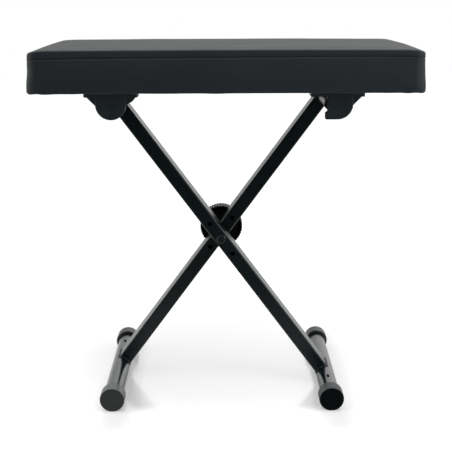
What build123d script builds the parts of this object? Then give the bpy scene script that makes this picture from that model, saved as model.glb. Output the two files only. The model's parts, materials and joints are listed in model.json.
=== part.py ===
"""Folding keyboard bench: a padded seat on a scissor frame of two crossed leg tubes.

Frame: +X to the sitter's right, +Y to the rear, +Z up, millimetres.
The origin is on the floor, below the middle of the seat.
"""

import os
from math import cos, pi, radians, sin

from build123d import *

# Padded seat
SEAT_LENGTH = 600.0
SEAT_DEPTH = 300.0
SEAT_THICKNESS = 65.2
SEAT_CORNER_R = 24.0
SEAT_CROWN = 1.0
SEAT_CROWN_INSET = 90.0
SEAT_TOP_EDGE = 5.0
SEAT_LOW_EDGE = 6.0
SEAT_BELLY = 1.0
EDGE_ROUND = 0.3
CROWN_RISE = 0.7
COVER_T = 1.2
COVER_TURN_IN = 28.0
BOARD_T = 12.0
BOARD_INSET = 9.0
CLOTH_GAP = 1.0

# Scissor legs
LEG_WIDTH = 22.5
LEG_DEPTH = 40.0
LEG_WALL = 1.6
LEG_CORNER_R = 3.0
LEG_GAP = 5.6
LEG_SPREAD = 36.4
LEG_LOWER = 299.0
LEG_UPPER = 286.6
PIVOT_X = -8.6
ACCESS_HOLE_D = 7.5
ACCESS_HOLE_OFFSET = 31.5

# Cross sleeves at the tops of the legs
SLEEVE_D = 20.0
SLEEVE_WALL = 1.5
SLEEVE_COPE = 9.6

# Feet
FOOT_LENGTH = 300.0
FOOT_TUBE_D = 30.0
FOOT_TUBE_WALL = 1.5
CAP_D = 40.0
CAP_LENGTH = 26.0
CAP_END_T = 4.0
CAP_FLAT = 0.8
CAP_EDGE_R = 2.5
DRAIN_SLOT_LENGTH = 13.0
DRAIN_SLOT_WIDTH = 4.0
DRAIN_SLOT_Y = 86.0

# Seat brackets
BRACKET_LENGTH = 83.6
BRACKET_DEPTH = 36.0
BRACKET_BASE_T = 9.9
BRACKET_CORNER_R = 4.0
SEAT_ABOVE_SLEEVES = 21.2
EAR_WIDTH = 48.0
EAR_T = 8.0
EAR_INNER_Y = 100.0
EAR_EDGE_R = 2.0
EAR_SOCKET_DEPTH = 5.0
GUSSET_T = 4.0
GUSSET_HEIGHT = 15.5
GUSSET_REACH = 37.5
GUSSET_SETBACK = 4.0
HOOK_EAR_SHIFT = 11.1
HOOK_EDGE_BACK = 5.4
HOOK_LIP = 3.0
HOOK_LIP_T = 12.1
HOOK_LIP_R = 2.7
SCREW_D = 4.5
SCREW_HEAD_D = 9.0
SCREW_HEAD_T = 2.6
SCREW_BITE = 9.0
SCREW_SPACING = 60.0
SCREW_INSET = 12.0

# Pivot bolt and clutch, in order along +Y
BOLT_D = 10.0
BOLT_HEAD_D = 16.0
BOLT_HEAD_T = 4.5
BOLT_HEAD_ROUND = 3.6
BOLT_FLATS = 8.0
BUSH_D = 16.0
THRUST_WASHER_D = 30.0
PLATE_D = 60.0
PLATE_T = 4.2
PLATE_TAB_T = 3.0
PLATE_TAB_END = 8.0
PLATE_SCREW_D = 4.0
PLATE_SCREW_HEAD_D = 7.0
PLATE_SCREW_HEAD_T = 2.5
TOOTH_COUNT = 30
TOOTH_H = 1.6
TOOTH_INNER_R = 17.0
TOOTH_OUTER_R = 29.0
TOOTH_FILL = 0.9
KNOB_D = 73.4
KNOB_T = 26.0
KNOB_SKIRT_T = 4.0
KNOB_EDGE = 1.5
KNOB_WEB_T = 4.5
KNOB_STANDOFF = 4.0
KNOB_RIB_COUNT = 48
KNOB_RIB_R = 1.3
KNOB_RECESS_D = 28.0
KNOB_LID_D = 34.0
KNOB_LID_T = 1.6
KNOB_LID_CROWN = 0.8
KNOB_LID_BEVEL = 2.4
SPRING_LENGTH = 8.0
SPRING_D = 18.0
SPRING_WIRE_D = 1.2
SPRING_TURNS = 3.0
SPRING_WIRE_SIDES = 8
END_WASHER_D = 24.0
END_WASHER_T = 1.5
NUT_FLATS = 16.0
NUT_T = 5.5
BOLT_PAST_NUT = 0.6

# Clearances
RUN_FIT = 0.1
SEAT_FIT = 0.05
FACE_GAP = 0.3
HOOK_FIT = 0.3

# Places worked out from the sizes
FOOT_Z = CAP_D / 2 - CAP_FLAT
SPREAD_SIN = sin(radians(LEG_SPREAD))
SPREAD_COS = cos(radians(LEG_SPREAD))
PIVOT_Z = FOOT_Z + LEG_LOWER * SPREAD_COS
SLEEVE_REACH = LEG_UPPER * SPREAD_SIN
SLEEVE_Z = PIVOT_Z + LEG_UPPER * SPREAD_COS
FOOT_REACH = LEG_LOWER * SPREAD_SIN
SEAT_Z = SLEEVE_Z + SEAT_ABOVE_SLEEVES
LEFT_SLEEVE_X = PIVOT_X - SLEEVE_REACH
RIGHT_SLEEVE_X = PIVOT_X + SLEEVE_REACH
LEFT_EAR_X = LEFT_SLEEVE_X
RIGHT_EAR_X = RIGHT_SLEEVE_X + HOOK_EAR_SHIFT
EAR_OUTER_Y = EAR_INNER_Y + EAR_T
SLEEVE_ROOM_Y = EAR_INNER_Y + EAR_SOCKET_DEPTH
EAR_R = EAR_WIDTH / 2
EAR_LOW_Z = SLEEVE_Z - EAR_R
SCREW_Y = EAR_OUTER_Y - BRACKET_DEPTH + SCREW_INSET
BASE_UNDER_Z = SEAT_Z - BRACKET_BASE_T
LEG_MID_Y = (LEG_GAP + LEG_DEPTH) / 2
LEG_OUT_Y = LEG_GAP / 2 + LEG_DEPTH
PLATE_FACE_Y = LEG_OUT_Y + PLATE_T
PLATE_CREST_Y = PLATE_FACE_Y + TOOTH_H
KNOB_CREST_Y = PLATE_CREST_Y + FACE_GAP
KNOB_FACE_Y = KNOB_CREST_Y + TOOTH_H
KNOB_FRONT_Y = LEG_OUT_Y + KNOB_STANDOFF
KNOB_BACK_Y = KNOB_FRONT_Y + KNOB_T
RECESS_FLOOR_Y = KNOB_FACE_Y + KNOB_WEB_T
SPRING_END_Y = RECESS_FLOOR_Y + SPRING_LENGTH
NUT_Y = SPRING_END_Y + END_WASHER_T
BOLT_END_Y = NUT_Y + NUT_T + BOLT_PAST_NUT
LID_Y = KNOB_BACK_Y - KNOB_LID_T
FRONT, REAR = -1, 1

NODES = {}


def rod_y(radius, y0, y1, x=0.0, z=0.0):
    """Round bar along Y."""
    return Pos(x, (y0 + y1) / 2, z) * Rot(90, 0, 0) * Cylinder(radius, y1 - y0)


def ring_y(outer_d, inner_d, y0, y1):
    """Plain washer or sleeve along Y."""
    return rod_y(outer_d / 2, y0, y1) - rod_y(inner_d / 2, y0, y1)


def prism_y(sketch, y0, y1):
    """Solid of an X-Z outline between two depths."""
    plane = Plane(origin=(0, y1, 0), x_dir=(1, 0, 0), z_dir=(0, -1, 0))
    return extrude(plane * sketch, y1 - y0)


def slab_z(length, depth, corner_r, z0, z1):
    """Flat plate with rounded corners, lying level."""
    return extrude(Pos(0, 0, z0) * RectangleRounded(length, depth, corner_r), z1 - z0)


def outline(*points):
    """Closed straight-sided outline."""
    return make_face(Polyline(*points, close=True))


def leg_frame(side):
    """Place of a leg: its axis runs up through the pivot and leans to the given side."""
    return Pos(PIVOT_X, 0, PIVOT_Z) * Rot(0, side * LEG_SPREAD, 0)


# Seat: plywood board, foam and a vinyl cover that is pulled under the board's edge

def cushion(skin):
    """Crowned pad with rounded edges, lying `skin` inside the outer face of the cover."""
    top = SEAT_THICKNESS
    edge = top - SEAT_CROWN
    rings = [
        (0.0, SEAT_LOW_EDGE),
        (EDGE_ROUND * SEAT_LOW_EDGE, EDGE_ROUND * SEAT_LOW_EDGE),
        (SEAT_LOW_EDGE, SEAT_BELLY / 2),
        (edge / 2, 0.0),
        (edge - SEAT_TOP_EDGE, SEAT_BELLY / 2),
        (edge - EDGE_ROUND * SEAT_TOP_EDGE, EDGE_ROUND * SEAT_TOP_EDGE),
        (edge, SEAT_TOP_EDGE),
        (edge + CROWN_RISE * SEAT_CROWN, SEAT_CROWN_INSET / 2),
        (top, SEAT_CROWN_INSET),
    ]
    sections = []
    for height, inset in rings:
        level = SEAT_Z + skin + height * (top - 2 * skin) / top
        size_x = SEAT_LENGTH - 2 * (inset + skin)
        size_y = SEAT_DEPTH - 2 * (inset + skin)
        sections.append(Pos(0, 0, level) * RectangleRounded(size_x, size_y, SEAT_CORNER_R))
    return loft(sections, ruled=True)


def build_seat():
    board_z = SEAT_Z + COVER_T
    foam_z = board_z + BOARD_T
    window_x = SEAT_LENGTH - 2 * COVER_TURN_IN
    window_y = SEAT_DEPTH - 2 * COVER_TURN_IN
    core = cushion(COVER_T)
    window = slab_z(window_x, window_y, SEAT_CORNER_R, SEAT_Z, board_z)
    NODES["seat_cover"] = cushion(0.0) - core - window
    NODES["seat_foam"] = core & slab_z(SEAT_LENGTH, SEAT_DEPTH, COVER_T, foam_z, SEAT_Z + SEAT_THICKNESS)
    board_x = SEAT_LENGTH - 2 * BOARD_INSET
    board_y = SEAT_DEPTH - 2 * BOARD_INSET
    board = slab_z(board_x, board_y, SEAT_CORNER_R, board_z, foam_z)
    cloth_x = window_x - 2 * CLOTH_GAP
    cloth_y = window_y - 2 * CLOTH_GAP
    cloth = slab_z(cloth_x, cloth_y, SEAT_CORNER_R, SEAT_Z, board_z)
    for ear_x in (LEFT_EAR_X, RIGHT_EAR_X):
        board = board - bracket_screws(ear_x, SEAT_FIT)
        cloth = cloth - bracket_screws(ear_x, SEAT_FIT)
    NODES["seat_board"] = board
    NODES["underside_cloth"] = cloth


# Brackets: two moulded hinge brackets at the left and two moulded hook brackets at the right

def bracket_screws(ear_x, grow=0.0):
    """Countersunk screws that hold one pair of brackets up against the seat board."""
    screws = Part()
    for x in (ear_x - SCREW_SPACING / 2, ear_x + SCREW_SPACING / 2):
        for y in (-SCREW_Y, SCREW_Y):
            length = BRACKET_BASE_T + SCREW_BITE
            shank = Pos(x, y, BASE_UNDER_Z + length / 2) * Cylinder(SCREW_D / 2 + grow, length)
            cone = Cone(SCREW_HEAD_D / 2 + grow, SCREW_D / 2 + grow, SCREW_HEAD_T)
            screws = screws + shank + Pos(x, y, BASE_UNDER_Z + SCREW_HEAD_T / 2) * cone
    return screws


def bracket_base(ear_x):
    """Thick base plate of the front bracket of a pair."""
    mid_y = -EAR_OUTER_Y + BRACKET_DEPTH / 2
    base = slab_z(BRACKET_LENGTH, BRACKET_DEPTH, BRACKET_CORNER_R, BASE_UNDER_Z, SEAT_Z)
    return Pos(ear_x, mid_y, 0) * base


def gusset(x0, x1, height):
    """Triangular web between the ear's side at x0 and the base plate at x1."""
    top = BASE_UNDER_Z + SEAT_FIT
    shape = outline((x0, top), (x1, top), (x0, BASE_UNDER_Z - height))
    y0 = -EAR_OUTER_Y + GUSSET_SETBACK
    return prism_y(shape, y0, y0 + GUSSET_T)


def rounded_ear(shape):
    """Ear plate with its front edges rounded over."""
    plate = prism_y(shape, -EAR_OUTER_Y, -EAR_INNER_Y)
    return fillet(plate.edges().group_by(Axis.Y)[0], EAR_EDGE_R)


def half_disc(x):
    """Lower half of the round end of an ear."""
    disc = Pos(x, SLEEVE_Z) * Circle(EAR_R)
    return disc - Pos(x, SLEEVE_Z + EAR_R) * Rectangle(2 * EAR_WIDTH, EAR_WIDTH)


def hinge_bracket():
    """Front hinge bracket: a round ear with a blind socket in which the cross sleeve turns."""
    x = LEFT_EAR_X
    shape = half_disc(x)
    shape = shape + Pos(x, (SLEEVE_Z + SEAT_Z) / 2) * Rectangle(EAR_WIDTH, SEAT_Z - SLEEVE_Z)
    body = bracket_base(x) + rounded_ear(shape)
    for side in (-1, 1):
        ear_side = x + side * (EAR_R - EAR_EDGE_R)
        body = body + gusset(ear_side, x + side * GUSSET_REACH, GUSSET_HEIGHT)
    socket_r = SLEEVE_D / 2 + RUN_FIT
    body = body - rod_y(socket_r, -SLEEVE_ROOM_Y, -EAR_INNER_Y, LEFT_SLEEVE_X, SLEEVE_Z)
    return body - bracket_screws(x, SEAT_FIT)


def hook_bracket():
    """Front hook bracket: a blind slot in the ear, open to the middle, lets the sleeve slide out."""
    x = RIGHT_EAR_X
    edge_x = RIGHT_SLEEVE_X - HOOK_EDGE_BACK
    right_x = x + EAR_R
    slot_r = SLEEVE_D / 2 + HOOK_FIT
    shape = outline((edge_x, EAR_LOW_Z), (x, EAR_LOW_Z), (x, SEAT_Z), (edge_x, SEAT_Z))
    shape = shape + outline((x, SLEEVE_Z), (right_x, SLEEVE_Z), (right_x, SEAT_Z), (x, SEAT_Z))
    open_side = Pos(edge_x - EAR_WIDTH, SLEEVE_Z) * Rectangle(2 * EAR_WIDTH, 2 * EAR_WIDTH)
    lip = RectangleRounded(2 * HOOK_LIP, HOOK_LIP_T, HOOK_LIP_R)
    shape = shape + (half_disc(x) - open_side) + Pos(edge_x, EAR_LOW_Z + HOOK_LIP_T / 2) * lip
    body = bracket_base(x) + rounded_ear(shape)
    body = body + gusset(right_x - EAR_EDGE_R, x + GUSSET_REACH, GUSSET_HEIGHT)
    mouth = Pos(RIGHT_SLEEVE_X - EAR_WIDTH / 2, SLEEVE_Z) * Rectangle(EAR_WIDTH, 2 * slot_r)
    slot = mouth + Pos(RIGHT_SLEEVE_X, SLEEVE_Z) * Circle(slot_r)
    body = body - prism_y(slot, -SLEEVE_ROOM_Y, -EAR_INNER_Y)
    return body - bracket_screws(x, SEAT_FIT)


def build_brackets():
    for name, bracket, ear_x in (
        ("hinge_bracket", hinge_bracket(), LEFT_EAR_X),
        ("hook_bracket", hook_bracket(), RIGHT_EAR_X),
    ):
        NODES[name + "_front"] = bracket
        NODES[name + "_rear"] = mirror(bracket, about=Plane.XZ)
        NODES[name + "_screws"] = bracket_screws(ear_x)


# Legs: rectangular tubes between a round cross sleeve at the top and a round foot tube

def leg_tube(side, y_mid, screwed):
    """Leg tube, coped to its foot and sleeve, drilled for the pivot and the clutch screws."""
    length = LEG_UPPER - SLEEVE_COPE + LEG_LOWER
    start = Pos(0, y_mid, -LEG_LOWER)
    outer = start * extrude(RectangleRounded(LEG_WIDTH, LEG_DEPTH, LEG_CORNER_R), length)
    inner_r = LEG_CORNER_R - LEG_WALL
    hollow = RectangleRounded(LEG_WIDTH - 2 * LEG_WALL, LEG_DEPTH - 2 * LEG_WALL, inner_r)
    tube = outer - start * extrude(hollow, length)
    front_y = y_mid - LEG_DEPTH / 2
    back_y = y_mid + LEG_DEPTH / 2
    tube = tube - rod_y(FOOT_TUBE_D / 2, front_y - LEG_WALL, back_y + LEG_WALL, 0, -LEG_LOWER)
    tube = tube - rod_y(SLEEVE_D / 2, front_y - LEG_WALL, back_y + LEG_WALL, 0, LEG_UPPER)
    for up in (-ACCESS_HOLE_OFFSET, ACCESS_HOLE_OFFSET):
        tube = tube - rod_y(ACCESS_HOLE_D / 2, front_y - LEG_WALL, y_mid, 0, up)
        if screwed:
            tube = tube - rod_y(PLATE_SCREW_D / 2 + SEAT_FIT, y_mid, back_y + LEG_WALL, 0, up)
    if screwed:
        tube = tube - rod_y(BUSH_D / 2 + SEAT_FIT, front_y - LEG_WALL, back_y + LEG_WALL)
    else:
        neck = BOLT_D + 2 * SEAT_FIT
        tube = tube - Pos(0, front_y, 0) * Box(neck, 4 * LEG_WALL, neck)
        tube = tube - rod_y(BOLT_D / 2 + SEAT_FIT, y_mid, back_y + LEG_WALL)
    return leg_frame(side) * tube


def cross_sleeve(x):
    """Round tube across the top of a leg, with its ends in a pair of seat brackets."""
    half = SLEEVE_ROOM_Y - FACE_GAP
    return Pos(x, 0, SLEEVE_Z) * ring_y(SLEEVE_D, SLEEVE_D - 2 * SLEEVE_WALL, -half, half)


def foot_tube(x, end):
    """Round foot tube with a drain slot on top, towards the given end."""
    half = FOOT_LENGTH / 2 - CAP_END_T
    bore_r = FOOT_TUBE_D / 2 - FOOT_TUBE_WALL
    tube = rod_y(FOOT_TUBE_D / 2, -half, half) - rod_y(bore_r, -half, half)
    slot = Rot(0, 0, 90) * SlotOverall(DRAIN_SLOT_LENGTH, DRAIN_SLOT_WIDTH)
    tube = tube - Pos(0, end * DRAIN_SLOT_Y, 0) * extrude(slot, FOOT_TUBE_D)
    return Pos(x, 0, FOOT_Z) * tube


def foot_cap(x, end):
    """Rubber cap pushed over one end of a foot tube, with a small flat to stand on."""
    half = FOOT_LENGTH / 2
    cap = rod_y(CAP_D / 2, half - CAP_LENGTH, half)
    cap = fillet(cap.edges().group_by(Axis.Y)[-1], CAP_EDGE_R)
    cap = chamfer(cap.edges().group_by(Axis.Y)[0], CAP_EDGE_R / 2)
    cap = cap - rod_y(FOOT_TUBE_D / 2 + SEAT_FIT, half - 2 * CAP_LENGTH, half - CAP_END_T)
    cap = cap - Pos(0, half, -CAP_D - FOOT_Z) * Box(2 * CAP_D, 4 * CAP_LENGTH, 2 * CAP_D)
    if end == FRONT:
        cap = mirror(cap, about=Plane.XZ)
    return Pos(x, 0, FOOT_Z) * cap


def build_legs():
    for name, foot, side, depth, screwed in (
        ("front", "right", -1, FRONT, False),
        ("rear", "left", 1, REAR, True),
    ):
        sleeve_x = PIVOT_X + side * SLEEVE_REACH
        foot_x = PIVOT_X - side * FOOT_REACH
        NODES[name + "_leg"] = leg_tube(side, depth * LEG_MID_Y, screwed)
        NODES[name + "_leg_sleeve"] = cross_sleeve(sleeve_x)
        NODES[foot + "_foot_tube"] = foot_tube(foot_x, depth)
        NODES[foot + "_foot_front_cap"] = foot_cap(foot_x, FRONT)
        NODES[foot + "_foot_rear_cap"] = foot_cap(foot_x, REAR)


# Pivot and clutch: a bolt fixed in the front leg carries the rear leg and a sprung knob

def tooth_ring(face_y, direction):
    """Ring of radial teeth standing on a flat face, along the given direction of Y."""
    step = 2 * pi / TOOTH_COUNT
    sections = []
    for radius in (TOOTH_INNER_R, TOOTH_OUTER_R):
        half = TOOTH_FILL * radius * step / 2
        plane = Plane(origin=(radius, face_y, 0), x_dir=(0, 0, -1), z_dir=(1, 0, 0))
        root = -direction * SEAT_FIT
        shape = outline((-half, root), (half, root), (0, direction * TOOTH_H))
        sections.append(plane * shape)
    tooth = loft(sections, ruled=True)
    return [Rot(0, k * 360 / TOOTH_COUNT, 0) * tooth for k in range(TOOTH_COUNT)]


def keyed_shank(y0, y1, grow=0.0):
    """Round shank with two flats, which keeps the knob from turning on the bolt."""
    shank = rod_y(BOLT_D / 2 + grow, y0, y1)
    return shank & Pos(0, (y0 + y1) / 2, 0) * Box(BOLT_FLATS + 2 * grow, y1 - y0, 2 * BOLT_D)


def pivot_bolt():
    """Round-headed bolt with a square neck in the front leg and flats for the knob."""
    face_y = -LEG_OUT_Y
    head = rod_y(BOLT_HEAD_D / 2, face_y - BOLT_HEAD_T, face_y)
    head = fillet(head.edges().group_by(Axis.Y)[0], BOLT_HEAD_ROUND)
    neck = Pos(0, face_y + LEG_WALL / 2, 0) * Box(BOLT_D, LEG_WALL, BOLT_D)
    shank = rod_y(BOLT_D / 2, face_y, PLATE_CREST_Y)
    return head + neck + shank + keyed_shank(PLATE_CREST_Y, BOLT_END_Y)


def clutch_plate():
    """Toothed plate on the back of the rear leg, with a tapped tab above and below."""
    reach = ACCESS_HOLE_OFFSET + PLATE_TAB_END
    tab_shape = Rot(0, 0, 90) * SlotOverall(2 * reach, LEG_WIDTH)
    plate = prism_y(tab_shape, LEG_OUT_Y, LEG_OUT_Y + PLATE_TAB_T)
    plate = plate + rod_y(PLATE_D / 2, LEG_OUT_Y, PLATE_FACE_Y)
    plate = plate + tooth_ring(PLATE_FACE_Y, 1)
    plate = plate - rod_y(BUSH_D / 2 + SEAT_FIT, LEG_OUT_Y - LEG_WALL, PLATE_CREST_Y + LEG_WALL)
    for up in (-ACCESS_HOLE_OFFSET, ACCESS_HOLE_OFFSET):
        plate = plate - rod_y(PLATE_SCREW_D / 2 + SEAT_FIT, LEG_OUT_Y - LEG_WALL, PLATE_FACE_Y, 0, up)
    return plate


def clutch_screws():
    """Screws from inside the rear leg tube into the tabs of the clutch plate."""
    wall_y = LEG_OUT_Y - LEG_WALL
    screws = Part()
    for up in (-ACCESS_HOLE_OFFSET, ACCESS_HOLE_OFFSET):
        head = rod_y(PLATE_SCREW_HEAD_D / 2, wall_y - PLATE_SCREW_HEAD_T, wall_y, 0, up)
        screws = screws + head + rod_y(PLATE_SCREW_D / 2, wall_y, LEG_OUT_Y + PLATE_TAB_T, 0, up)
    return screws


def clutch_knob():
    """Ribbed pull knob: a skirt round the clutch plate, teeth, and a recess for the spring."""
    knob = rod_y(KNOB_D / 2, KNOB_FRONT_Y, KNOB_BACK_Y)
    knob = chamfer(knob.edges().group_by(Axis.Y)[0] + knob.edges().group_by(Axis.Y)[-1], KNOB_EDGE)
    knob = knob - rod_y(KNOB_D / 2 - KNOB_SKIRT_T, KNOB_FRONT_Y - KNOB_EDGE, KNOB_FACE_Y)
    knob = knob + tooth_ring(KNOB_FACE_Y, -1)
    knob = knob - rod_y(KNOB_RECESS_D / 2, RECESS_FLOOR_Y, KNOB_BACK_Y)
    knob = knob - rod_y(KNOB_LID_D / 2, LID_Y, KNOB_BACK_Y)
    knob = knob - keyed_shank(KNOB_FRONT_Y, KNOB_BACK_Y, RUN_FIT)
    groove = rod_y(KNOB_RIB_R, KNOB_FRONT_Y - KNOB_EDGE, KNOB_BACK_Y + KNOB_EDGE, KNOB_D / 2)
    grooves = [Rot(0, k * 360 / KNOB_RIB_COUNT, 0) * groove for k in range(KNOB_RIB_COUNT)]
    return knob - grooves


def knob_lid():
    """Slightly domed lid over the spring recess."""
    radius = KNOB_LID_D / 2 - SEAT_FIT
    lid = rod_y(radius, LID_Y, KNOB_BACK_Y + KNOB_LID_CROWN)
    return chamfer(lid.edges().group_by(Axis.Y)[-1], KNOB_LID_CROWN, KNOB_LID_BEVEL)


def clutch_spring():
    """Compression spring between the floor of the knob's recess and the end washer."""
    rise = SPRING_LENGTH - SPRING_WIRE_D - 2 * SEAT_FIT
    path = Helix(rise / SPRING_TURNS, rise, (SPRING_D - SPRING_WIRE_D) / 2)
    wire = Plane(origin=path @ 0, z_dir=path % 0) * RegularPolygon(SPRING_WIRE_D / 2, SPRING_WIRE_SIDES)
    coil = Rot(-90, 0, 0) * sweep(wire, path)
    return Pos(0, RECESS_FLOOR_Y + SPRING_WIRE_D / 2 + SEAT_FIT, 0) * coil


def build_pivot():
    front = leg_frame(-1)
    rear = leg_frame(1)
    bolt_hole = BOLT_D + 2 * RUN_FIT
    gap = LEG_GAP / 2
    NODES["pivot_bolt"] = front * pivot_bolt()
    crush = ring_y(BUSH_D, bolt_hole, -LEG_OUT_Y + LEG_WALL, -gap - LEG_WALL)
    NODES["pivot_crush_sleeve"] = front * crush
    NODES["thrust_washer"] = front * ring_y(THRUST_WASHER_D, bolt_hole, -gap, gap - FACE_GAP)
    NODES["pivot_bush"] = rear * ring_y(BUSH_D, bolt_hole, gap, PLATE_FACE_Y)
    NODES["clutch_plate"] = rear * clutch_plate()
    NODES["clutch_plate_screws"] = rear * clutch_screws()
    NODES["clutch_knob"] = front * clutch_knob()
    NODES["knob_lid"] = front * knob_lid()
    NODES["clutch_spring"] = front * clutch_spring()
    NODES["spring_washer"] = front * ring_y(END_WASHER_D, bolt_hole, SPRING_END_Y, NUT_Y)
    hexagon = prism_y(RegularPolygon(NUT_FLATS / 2, 6, major_radius=False), NUT_Y, NUT_Y + NUT_T)
    NODES["pivot_nut"] = front * (hexagon - keyed_shank(NUT_Y, NUT_Y + NUT_T, SEAT_FIT))


build_seat()
build_brackets()
build_legs()
build_pivot()
os.makedirs("parts", exist_ok=True)
for node, shape in NODES.items():
    export_step(shape, os.path.join("parts", node + ".step"))
print(len(NODES), "nodes, seat underside at", round(SEAT_Z, 1), "sleeves at", round(SLEEVE_Z, 1))
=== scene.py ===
# %% [markdown]
# Folding keyboard bench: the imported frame
#
# The steel frame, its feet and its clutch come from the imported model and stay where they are.
# This lesson dresses that frame: it sews the padded seat, stretches the cloth under it, lays the
# weld beads, and gives each piece a finish of its own. Everything is in metres, with +Z up,
# +X to the sitter's right and +Y to the rear.

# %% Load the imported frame
import json
import math

import bmesh
import bpy
from mathutils import Matrix, Vector, kdtree, noise


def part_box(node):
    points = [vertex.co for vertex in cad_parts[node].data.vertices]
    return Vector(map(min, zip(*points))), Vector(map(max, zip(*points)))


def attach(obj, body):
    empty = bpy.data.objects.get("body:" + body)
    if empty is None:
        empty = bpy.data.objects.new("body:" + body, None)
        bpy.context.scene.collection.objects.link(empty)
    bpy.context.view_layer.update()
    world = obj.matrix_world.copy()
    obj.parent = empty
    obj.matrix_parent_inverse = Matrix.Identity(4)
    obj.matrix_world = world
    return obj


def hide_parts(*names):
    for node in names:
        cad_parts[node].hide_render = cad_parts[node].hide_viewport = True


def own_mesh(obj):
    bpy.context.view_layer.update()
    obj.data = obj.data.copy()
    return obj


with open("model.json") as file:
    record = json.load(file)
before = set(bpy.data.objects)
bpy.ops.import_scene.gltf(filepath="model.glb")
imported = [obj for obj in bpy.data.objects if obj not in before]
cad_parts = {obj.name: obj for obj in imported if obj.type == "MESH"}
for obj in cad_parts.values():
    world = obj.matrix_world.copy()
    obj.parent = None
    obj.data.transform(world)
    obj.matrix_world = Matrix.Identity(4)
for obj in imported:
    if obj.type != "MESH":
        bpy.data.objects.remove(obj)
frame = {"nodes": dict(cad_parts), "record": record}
nodes = frame["nodes"]
scene = bpy.context.scene
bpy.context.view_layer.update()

# %% [markdown]
# The camera
#
# The photograph looks at the bench from the front, a little from above, with a longish lens.
# One could turn the camera by eye until it looks right. Here its place, tilt and lens come from
# matching the seat's edges, the pivot, the four screw holes and the foot caps with their pixels,
# so that the render can be laid over the photograph.

# %% Camera at the photograph's angle
IMAGE_SIDE = 452
FOCAL_PIXELS = 998.6
CAMERA_PLACE = Vector((-0.0070, -1.6486, 0.6726))
CAMERA_YAW = 0.0039
CAMERA_PITCH = 0.2386
CAMERA_ROLL = -0.0033

level = Vector((math.sin(CAMERA_YAW), math.cos(CAMERA_YAW), 0))
side = Vector((math.cos(CAMERA_YAW), -math.sin(CAMERA_YAW), 0))
ahead = math.cos(CAMERA_PITCH) * level - math.sin(CAMERA_PITCH) * Vector((0, 0, 1))
above = math.sin(CAMERA_PITCH) * level + math.cos(CAMERA_PITCH) * Vector((0, 0, 1))
right = math.cos(CAMERA_ROLL) * side + math.sin(CAMERA_ROLL) * above
up = math.cos(CAMERA_ROLL) * above - math.sin(CAMERA_ROLL) * side

camera_data = bpy.data.cameras.new("photo_camera")
camera_data.sensor_width = 36.0
camera_data.lens = 36.0 * FOCAL_PIXELS / IMAGE_SIDE
camera = bpy.data.objects.new("photo_camera", camera_data)
camera.matrix_world = Matrix((
    (right.x, up.x, -ahead.x, CAMERA_PLACE.x),
    (right.y, up.y, -ahead.y, CAMERA_PLACE.y),
    (right.z, up.z, -ahead.z, CAMERA_PLACE.z),
    (0, 0, 0, 1),
))
scene.collection.objects.link(camera)
scene.camera = camera
print("lens", round(camera_data.lens, 2), "mm")

# %% [markdown]
# Helpers for node trees
#
# A shader is a tree of nodes joined by links. Each node could be made and linked by hand, in three
# or four lines. The world, the floor and the finishes need many of them, so small helpers make a
# node, link or set its inputs, and give back what it puts out.

# %% Node helpers
def wire(tree, kind, values, **settings):
    """A new node with its settings, and its inputs linked or set."""
    node = tree.nodes.new(kind)
    for key, value in settings.items():
        setattr(node, key, value)
    for socket, value in values.items():
        if isinstance(value, bpy.types.NodeSocket):
            tree.links.new(value, node.inputs[socket])
        else:
            node.inputs[socket].default_value = value
    return node


def between(tree, share, low, high, start=0.0, end=1.0):
    """A value that goes smoothly from low to high as the share goes from start to end."""
    values = {"Value": share, "From Min": start, "From Max": end, "To Min": low, "To Max": high}
    mapped = wire(tree, "ShaderNodeMapRange", values, interpolation_type="SMOOTHSTEP")
    return mapped.outputs["Result"]


def reflected_rays(tree, path):
    """One where the ray comes from a reflection or through a clear surface."""
    rays = {0: path.outputs["Is Glossy Ray"], 1: path.outputs["Is Transmission Ray"]}
    return wire(tree, "ShaderNodeMath", rays, operation="MAXIMUM").outputs[0]


def chosen(tree, switch, off, on):
    """One of two values."""
    values = {"Factor": switch, "A": off, "B": on}
    return wire(tree, "ShaderNodeMix", values).outputs["Result"]


print("node helpers ready")

# %% [markdown]
# The white room
#
# The bench stands in front of a white sweep. Black vinyl and black paint show almost only what
# they reflect: the white sweep behind in the flat angles, and the dim side of the room in the
# faces that look at the camera. White and dark boards could stand round the bench, but the world
# gives the same with no mesh. It is white for the camera, and in reflections it is white behind
# and above, most of all on the right, and dim in front.

# %% White world
scene.view_settings.view_transform = "Standard"
WORLD_LIGHT = 0.36
DIM_SIDE = 0.045
WHITE_SIDE = 0.95
DIM_TO_WHITE = (-0.35, 0.55)
HEIGHT_SHARE = 0.8
LEFT_SHARE = 0.72
RIGHT_SHARE = 1.05
LEFT_TO_RIGHT = (-0.35, 0.15)

world = bpy.data.worlds.new("white_studio")
scene.world = world
world.use_nodes = True
air = world.node_tree
background = air.nodes["Background"]
background.inputs["Color"].default_value = (1, 1, 1, 1)
path = air.nodes.new("ShaderNodeLightPath")
heading = air.nodes.new("ShaderNodeTexCoord").outputs["Generated"]
split = wire(air, "ShaderNodeSeparateXYZ", {0: heading})
height = {0: split.outputs["Z"], 1: HEIGHT_SHARE}
raised = wire(air, "ShaderNodeMath", height, operation="MULTIPLY").outputs[0]
rear_and_up = wire(air, "ShaderNodeMath", {0: split.outputs["Y"], 1: raised}).outputs[0]
whiteness = between(air, rear_and_up, DIM_SIDE, WHITE_SIDE, *DIM_TO_WHITE)
sideways = between(air, split.outputs["X"], LEFT_SHARE, RIGHT_SHARE, *LEFT_TO_RIGHT)
mirrored = wire(air, "ShaderNodeMath", {0: whiteness, 1: sideways}, operation="MULTIPLY")
lit = chosen(air, reflected_rays(air, path), WORLD_LIGHT, mirrored.outputs[0])
strength = chosen(air, path.outputs["Is Camera Ray"], lit, 1.0)
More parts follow.
